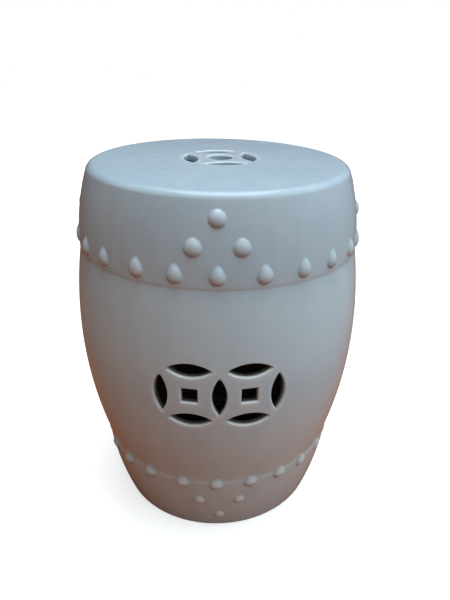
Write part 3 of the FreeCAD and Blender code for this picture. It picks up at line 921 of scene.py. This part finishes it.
# %% Helpers for nodes
def node(tree, kind, **settings):
    """A node of the given kind, with its settings."""
    made = tree.nodes.new(f"ShaderNode{kind}")
    for name, value in settings.items():
        setattr(made, name, value)
    return made


def feed(tree, socket, value):
    """Give a socket a plain number, a colour, or what another socket puts out."""
    if isinstance(value, bpy.types.NodeSocket):
        tree.links.new(value, socket)
    else:
        socket.default_value = (*value, 1) if isinstance(value, tuple) else value


def maths(tree, operation, *values, clamp=False):
    """A Math node fed by sockets or plain numbers."""
    made = node(tree, "Math", operation=operation, use_clamp=clamp)
    for socket, value in zip(made.inputs, values):
        feed(tree, socket, value)
    return made.outputs[0]


def mix(tree, share, first, second):
    """A mix of two colours."""
    made = node(tree, "Mix", data_type="RGBA")
    for number, value in ((0, share), (6, first), (7, second)):
        feed(tree, made.inputs[number], value)
    return made.outputs[2]


def spread(tree, value, low, high, new_low=0.0, new_high=1.0):
    """Map a range of values onto another, and hold the ends."""
    made = node(tree, "MapRange")
    for socket, number in zip(made.inputs, (value, low, high, new_low, new_high)):
        feed(tree, socket, number)
    return made.outputs[0]


# %% Helpers for places and textures
def parts_of(tree, vector):
    """The X, Y and Z of a place or direction."""
    made = node(tree, "SeparateXYZ")
    tree.links.new(vector, made.inputs[0])
    return made.outputs


def length_of(tree, vector):
    """How far a place is from the origin."""
    made = node(tree, "VectorMath", operation="LENGTH")
    tree.links.new(vector, made.inputs[0])
    return made.outputs["Value"]


def stretched(tree, place, scale):
    """Coordinates stretched along an axis, for streaks and rings."""
    made = node(tree, "Mapping")
    made.inputs["Scale"].default_value = scale
    tree.links.new(place, made.inputs["Vector"])
    return made.outputs[0]


def noise(tree, place, scale, detail=2.0):
    """A Noise texture on the given coordinates."""
    made = node(tree, "TexNoise")
    for name, value in (("Vector", place), ("Scale", scale), ("Detail", detail)):
        feed(tree, made.inputs[name], value)
    return made.outputs["Fac"]


# %% A group and its ends
def new_group(name, numbers, results):
    """A node group that takes a place and some numbers and gives back others."""
    group = bpy.data.node_groups.new(name, "ShaderNodeTree")
    add = group.interface.new_socket
    add("Vector", in_out="INPUT", socket_type="NodeSocketVector")
    for title in numbers:
        add(title, in_out="INPUT", socket_type="NodeSocketFloat")
    for title in results:
        add(title, in_out="OUTPUT", socket_type="NodeSocketFloat")
    start, end = group.nodes.new("NodeGroupInput"), group.nodes.new("NodeGroupOutput")
    return group, start.outputs, end.inputs


# %% Group: clouding
# Slow changes over the surface: broad clouds and faint runs down the wall.
CLOUDING, given, result = new_group("clouding", ["Scale"], ["Clouds", "Runs"])
broad = noise(CLOUDING, given["Vector"], given["Scale"], 3.0)
CLOUDING.links.new(spread(CLOUDING, broad, 0.3, 0.7), result["Clouds"])
tall = noise(CLOUDING, stretched(CLOUDING, given["Vector"], (1, 1, 0.12)), 60.0, 3.0)
CLOUDING.links.new(spread(CLOUDING, tall, 0.35, 0.65), result["Runs"])
print("Nodes for clouding:", len(CLOUDING.nodes))

# %% Group: specks
# Scattered specks of iron: one cell in seven has one, and they differ in size.
SPECKED = 0.86
SPECKS, given, result = new_group("specks", ["Scale", "Size"], ["Specks"])
cells = node(SPECKS, "TexVoronoi", feature="F1")
SPECKS.links.new(given["Vector"], cells.inputs["Vector"])
SPECKS.links.new(given["Scale"], cells.inputs["Scale"])
parts = node(SPECKS, "SeparateColor")
SPECKS.links.new(cells.outputs["Color"], parts.inputs[0])
chosen = maths(SPECKS, "GREATER_THAN", parts.outputs[0], SPECKED)
grown = maths(SPECKS, "MULTIPLY", parts.outputs[1], given["Size"])
inside = maths(SPECKS, "SUBTRACT", grown, cells.outputs["Distance"])
soft = spread(SPECKS, inside, 0.0, 0.03)
SPECKS.links.new(maths(SPECKS, "MULTIPLY", soft, chosen), result["Specks"])
print("Nodes for specks:", len(SPECKS.nodes))

# %% Group: surface waves
# The uneven skin: slow waves from the hand, rings from the wheel and a fine melt texture.
SKIN, given, result = new_group("skin", ["Hand", "Wheel", "Melt"], ["Height"])
slow = noise(SKIN, given["Vector"], 22.0, 1.0)
rings = noise(SKIN, stretched(SKIN, given["Vector"], (0.06, 0.06, 1)), 130.0)
fine = noise(SKIN, given["Vector"], 420.0)
height = 0.0
for waves, name in ((slow, "Hand"), (rings, "Wheel"), (fine, "Melt")):
    height = maths(SKIN, "MULTIPLY_ADD", waves, given[name], height)
SKIN.links.new(height, result["Height"])
print("Nodes for the skin:", len(SKIN.nodes))

# %% [markdown]
# A material starts with its Principled shader and its object coordinates. The marks come in by
# their names, and the waves tilt the normal through a Bump node, so that a highlight breaks up
# a little as it does on hand-made ware.

# %% Helpers for materials
def new_material(name):
    """A material, with its node tree, its Principled shader and its object coordinates."""
    material = bpy.data.materials.new(name)
    material.use_nodes = True
    tree = material.node_tree
    return material, tree, tree.nodes["Principled BSDF"], node(tree, "TexCoord").outputs["Object"]


def dress(piece, material):
    """Give a piece this material alone."""
    piece.data.materials.clear()
    piece.data.materials.append(material)


def use_group(tree, group, place, **values):
    """Place a group, give it coordinates and set its numbers."""
    made = node(tree, "Group", node_tree=group)
    for name, value in {"Vector": place, **values}.items():
        feed(tree, made.inputs[name], value)
    return made.outputs


def marked(tree, name):
    """A number stored on the mesh."""
    return node(tree, "Attribute", attribute_name=name).outputs["Fac"]


def make_uneven(tree, shader, place, strength, distance, **waves):
    """Let the surface waves tilt the shader's normal."""
    bump = node(tree, "Bump")
    bump.inputs["Strength"].default_value = strength
    bump.inputs["Distance"].default_value = distance
    tree.links.new(use_group(tree, SKIN, place, **waves)["Height"], bump.inputs["Height"])
    tree.links.new(bump.outputs["Normal"], shader.inputs["Normal"])


# %% Colours and levels
GLAZE_BODY = (0.405, 0.535, 0.64)
GLAZE_CLOUD = (0.44, 0.555, 0.64)
# Painted sheen: the upper belly made lighter and bluer.
GLAZE_PAINTED_SHEEN = (0.475, 0.61, 0.70)
# Painted shade: the foot made greyer and darker.
GLAZE_FOOT_SHADE = (0.425, 0.475, 0.512)
# Pale thin glaze; where its mark looks up it is also a painted highlight.
GLAZE_THIN_AND_HIGHLIGHT = (0.82, 0.85, 0.86)
# Pooled glaze, and painted shade under the bosses and the shoulder's lip.
GLAZE_POOLED_AND_SHADE = (0.27, 0.25, 0.26)
IRON = (0.16, 0.11, 0.08)
CLAY = (0.47, 0.38, 0.29)
CLAY_DARK = (0.36, 0.27, 0.19)
# Bare clay inside the drum, painted dark as shade.
CLAY_INSIDE_SHADED = (0.13, 0.10, 0.08)

# Between which levels each change of the glaze comes in, and how far a cloud shifts them.
SHEEN_OVER = (255 * MM, 300 * MM)
SHEEN_UNDER = (400 * MM, 360 * MM)
GREY_UNDER = (270 * MM, 130 * MM)
DRIFT = 50 * MM
# The levels printed here are those of the painted sheen on the upper belly.
print("The glaze is thickest from", round(SHEEN_OVER[1] / MM), "to", round(SHEEN_UNDER[1] / MM), "mm")

# %% The glaze material
glaze, tree, shader, place = new_material("pale_celadon_glaze")
clouds = use_group(tree, CLOUDING, place, Scale=14.0)
colour = mix(tree, clouds["Clouds"], GLAZE_BODY, GLAZE_CLOUD)
level = maths(tree, "MULTIPLY_ADD", noise(tree, place, 9.0), DRIFT, parts_of(tree, place)["Z"])
# Painted sheen: lighter and bluer over the upper belly.
painted_sheen = maths(tree, "MULTIPLY", spread(tree, level, *SHEEN_OVER), spread(tree, level, *SHEEN_UNDER))
colour = mix(tree, painted_sheen, colour, GLAZE_PAINTED_SHEEN)
# Painted shade: greyer and darker towards the foot.
colour = mix(tree, spread(tree, level, *GREY_UNDER), colour, GLAZE_FOOT_SHADE)
specks = use_group(tree, SPECKS, place, Scale=85.0, Size=0.07)
inner = marked(tree, "inner")
# Then one over another: where each is, how strongly it shows, and its colour.
layers = (
    (clouds["Runs"], 0.07, GLAZE_THIN_AND_HIGHLIGHT),
    (marked(tree, "thin_and_highlight"), 0.9, GLAZE_THIN_AND_HIGHLIGHT),
    (marked(tree, "pooled_and_shade"), 0.75, GLAZE_POOLED_AND_SHADE),
    (specks["Specks"], 0.55, IRON),
    (inner, 1.0, CLAY_INSIDE_SHADED),
)
for share, strength, shade in layers:
    colour = mix(tree, maths(tree, "MULTIPLY", share, strength), colour, shade)
tree.links.new(colour, shader.inputs["Base Color"])
gloss = spread(tree, clouds["Clouds"], 0.0, 1.0, 0.13, 0.2)
dull = maths(tree, "MULTIPLY", inner, 0.6)
tree.links.new(maths(tree, "ADD", gloss, dull, clamp=True), shader.inputs["Roughness"])
make_uneven(tree, shader, place, 0.25, 1.2 * MM, Hand=1.15, Wheel=0.26, Melt=0.03)
shader.inputs["IOR"].default_value = 1.5
for piece in glazed.values():
    dress(piece, glaze)
print("Nodes in the glaze:", len(tree.nodes))

# %% [markdown]
# ## Bare clay
#
# The standing ring is wiped clean of glaze, or the stool would stick to the kiln shelf. It
# shows the fired body: matt, warm, slightly sandy.

# %% The clay material
clay, tree, shader, place = new_material("bare_fired_clay")
clouds = use_group(tree, CLOUDING, place, Scale=40.0)
grains = use_group(tree, SPECKS, place, Scale=400.0, Size=0.3)
colour = mix(tree, clouds["Clouds"], CLAY, CLAY_DARK)
colour = mix(tree, grains["Specks"], colour, IRON)
# Painted shade where the ring looks into the drum.
colour = mix(tree, marked(tree, "inner"), colour, CLAY_INSIDE_SHADED)
tree.links.new(colour, shader.inputs["Base Color"])
tree.links.new(spread(tree, clouds["Runs"], 0.0, 1.0, 0.75, 0.92), shader.inputs["Roughness"])
make_uneven(tree, shader, place, 0.5, 0.5 * MM, Hand=0.4, Wheel=0.2, Melt=0.5)
dress(ring, clay)
print("Nodes in the clay:", len(tree.nodes))

# %% [markdown]
# ## Floor, light and camera
#
# The photograph shows the stool on white, lit softly from above. The floor is a plain pale
# sheet. What the camera sees of it is lifted to white, while the object gets the floor's own
# warm bounce, and the sheet still catches the stool's shadow. Within the foot the floor is
# painted dark as shade, so that no light from below shows through the holes.

# %% Floor
FLOOR_WARM = (0.46, 0.15, 0.07)
FLOOR_PAINTED_SHADE = (0.02, 0.02, 0.02)
FLOOR_PALE = (0.75, 0.75, 0.75)
FLOOR_GLOW = 0.62
UNDER_FOOT = (128 * MM, 134 * MM)
BLACK = (0.0, 0.0, 0.0)
WHITE = (1.0, 1.0, 1.0)


def background_rays(tree):
    """1 where the camera, a reflection or a view through glass looks at the background."""
    ray = node(tree, "LightPath").outputs
    direct = maths(tree, "MAXIMUM", ray["Is Camera Ray"], ray["Is Glossy Ray"])
    return maths(tree, "MAXIMUM", direct, ray["Is Transmission Ray"])


choose()
bpy.ops.mesh.primitive_plane_add(size=12, location=(0, 0, 0))
floor = settle("studio_floor")
floor_skin, tree, shader, place = new_material("floor_sheet")
shader.inputs["Roughness"].default_value = 0.9
shader.inputs["Specular IOR Level"].default_value = 0.0
outside = spread(tree, length_of(tree, place), *UNDER_FOOT)
seen = maths(tree, "MULTIPLY", background_rays(tree), outside)
# Within the foot the floor is painted dark, as shade.
bounce = mix(tree, outside, FLOOR_PAINTED_SHADE, FLOOR_WARM)
tree.links.new(mix(tree, seen, bounce, FLOOR_PALE), shader.inputs["Base Color"])
tree.links.new(mix(tree, seen, BLACK, WHITE), shader.inputs["Emission Color"])
shader.inputs["Emission Strength"].default_value = FLOOR_GLOW
dress(floor, floor_skin)
print("Floor:", floor.dimensions.x, "m square")

# %% [markdown]
# A glossy pot on a white sheet gets white edges, because a surface seen edge-on is almost a
# mirror. Photographers stand such a pot among dull brown cards, outside the picture, and its
# edges turn dark and warm, as they are here. These cards are a wide shallow tub round the
# stool, which only reflections see: a disc just over the floor and an upright rim, low in
# front and higher behind. The brown is more orange near the stool and darker to the left.

# %% The tub of cards
TUB_RADIUS = 3.0
TUB_HEIGHT = 1.6
TUB_BACK_HEIGHT = 3.6

choose()
bpy.ops.mesh.primitive_cylinder_add(vertices=96, radius=TUB_RADIUS, depth=TUB_HEIGHT,
                                    end_fill_type="NGON", location=(0, 0, TUB_HEIGHT / 2 + MM))
card = settle("brown_cards")
edit(card, "FACE")
pick(card, "faces", lambda face: face.normal.z > 0.5)
bpy.ops.mesh.delete(type="FACE")
bpy.ops.mesh.select_all(action="SELECT")
bpy.ops.mesh.flip_normals()
done()
for vertex in card.data.vertices:
    if vertex.co.z > TUB_HEIGHT / 2:
        vertex.co.z += (TUB_BACK_HEIGHT - TUB_HEIGHT) * soft_step(vertex.co.y / TUB_RADIUS)
for rays in ("camera", "diffuse", "transmission", "shadow"):
    setattr(card, f"visible_{rays}", False)
print("The tub of cards:", [round(side, 2) for side in card.dimensions], "m")

# %% The cards' brown
CARD_NEAR = (0.40, 0.115, 0.03)
CARD_FAR = (0.23, 0.08, 0.035)
CARD_LEFT = (0.10, 0.03, 0.012)
FADE_OUT = (0.25, 1.0)
FADE_LEFT = (-0.2, -0.9)
card_skin, tree, shader, place = new_material("card_brown")
brown = mix(tree, spread(tree, length_of(tree, place), *FADE_OUT), CARD_NEAR, CARD_FAR)
leftward = spread(tree, parts_of(tree, place)["X"], *FADE_LEFT, 0.0, 0.8)
brown = mix(tree, leftward, brown, CARD_LEFT)
tree.links.new(brown, shader.inputs["Base Color"])
shader.inputs["Roughness"].default_value = 0.9
shader.inputs["Specular IOR Level"].default_value = 0.0
dress(card, card_skin)
print("Nodes in the brown:", len(tree.nodes))

# %% [markdown]
# The air of the studio is the soft light from all round: cool from above, brightest from the
# right, brown and dim from the left and low down. The camera and reflections see plain white.

# %% World
AIR_LEFT = (0.11, 0.055, 0.015)
AIR_LOW = (0.56, 0.50, 0.42)
AIR_HIGH = (0.52, 0.66, 0.74)
AIR_RIGHT = (1.60, 1.95, 2.04)
world = bpy.data.worlds.new("studio_air")
bpy.context.scene.world = world
world.use_nodes = True
tree = world.node_tree
background = tree.nodes["Background"]
towards = parts_of(tree, node(tree, "TexCoord").outputs["Generated"])
air = mix(tree, spread(tree, towards["Z"], 0.0, 1.0), AIR_LOW, AIR_HIGH)
leftward = spread(tree, towards["X"], 0.0, -0.8)
low_down = spread(tree, towards["Z"], 0.1, 0.7, 1.0, 0.7)
air = mix(tree, maths(tree, "MULTIPLY", leftward, low_down), air, AIR_LEFT)
rightward = spread(tree, towards["X"], 0.0, 1.0)
air = mix(tree, maths(tree, "MULTIPLY", rightward, rightward), air, AIR_RIGHT)
air = mix(tree, background_rays(tree), air, WHITE)
tree.links.new(air, background.inputs["Color"])
background.inputs["Strength"].default_value = 1.0
print("Nodes in the air:", len(tree.nodes))

# %% Softbox overhead
SOFTBOX_PLACE = Vector((0.05, 0.0, 2.2))
SOFTBOX_AIM = Vector((0.0, 0.0, 0.4))
light = bpy.data.lights.new("overhead_softbox", "AREA")
light.shape = "SQUARE"
light.size = 1.4
light.energy = 27
light.color = (0.83, 0.90, 0.95)
softbox = bpy.data.objects.new("overhead_softbox", light)
bpy.context.scene.collection.objects.link(softbox)
softbox.location = SOFTBOX_PLACE
softbox.rotation_euler = (SOFTBOX_AIM - SOFTBOX_PLACE).to_track_quat("-Z", "Y").to_euler()
print("The softbox hangs at", round(SOFTBOX_PLACE.z, 2), "m")

# %% [markdown]
# The camera stands close in front of the stool and looks down on it, as in the photograph. Its
# place, turn and lens were fitted to the seat's ellipse, the bands, the bosses and the coins. A
# small shift puts the stool where the photograph has it in the frame.

# %% Camera
CAMERA_PLACE = Vector((-0.0031859, -0.6799413, 0.5954656))
CAMERA_RIGHT = Vector((0.99825295, -0.05257595, 0.02695962))
CAMERA_UP = Vector((-0.00318454, 0.4077453, 0.91309015))
lens = bpy.data.cameras.new("photo_camera")
lens.sensor_width = 36
lens.lens = 33.143
lens.shift_x = -0.0410
lens.shift_y = -0.0290
lens.clip_start = 0.01
camera = bpy.data.objects.new("photo_camera", lens)
bpy.context.scene.collection.objects.link(camera)
turned = Matrix((CAMERA_RIGHT, CAMERA_UP, CAMERA_RIGHT.cross(CAMERA_UP))).transposed().to_4x4()
camera.matrix_world = Matrix.Translation(CAMERA_PLACE) @ turned
bpy.context.scene.camera = camera
bpy.context.scene.view_settings.view_transform = "Standard"
print("The camera is", round(CAMERA_PLACE.length, 3), "m from the origin")
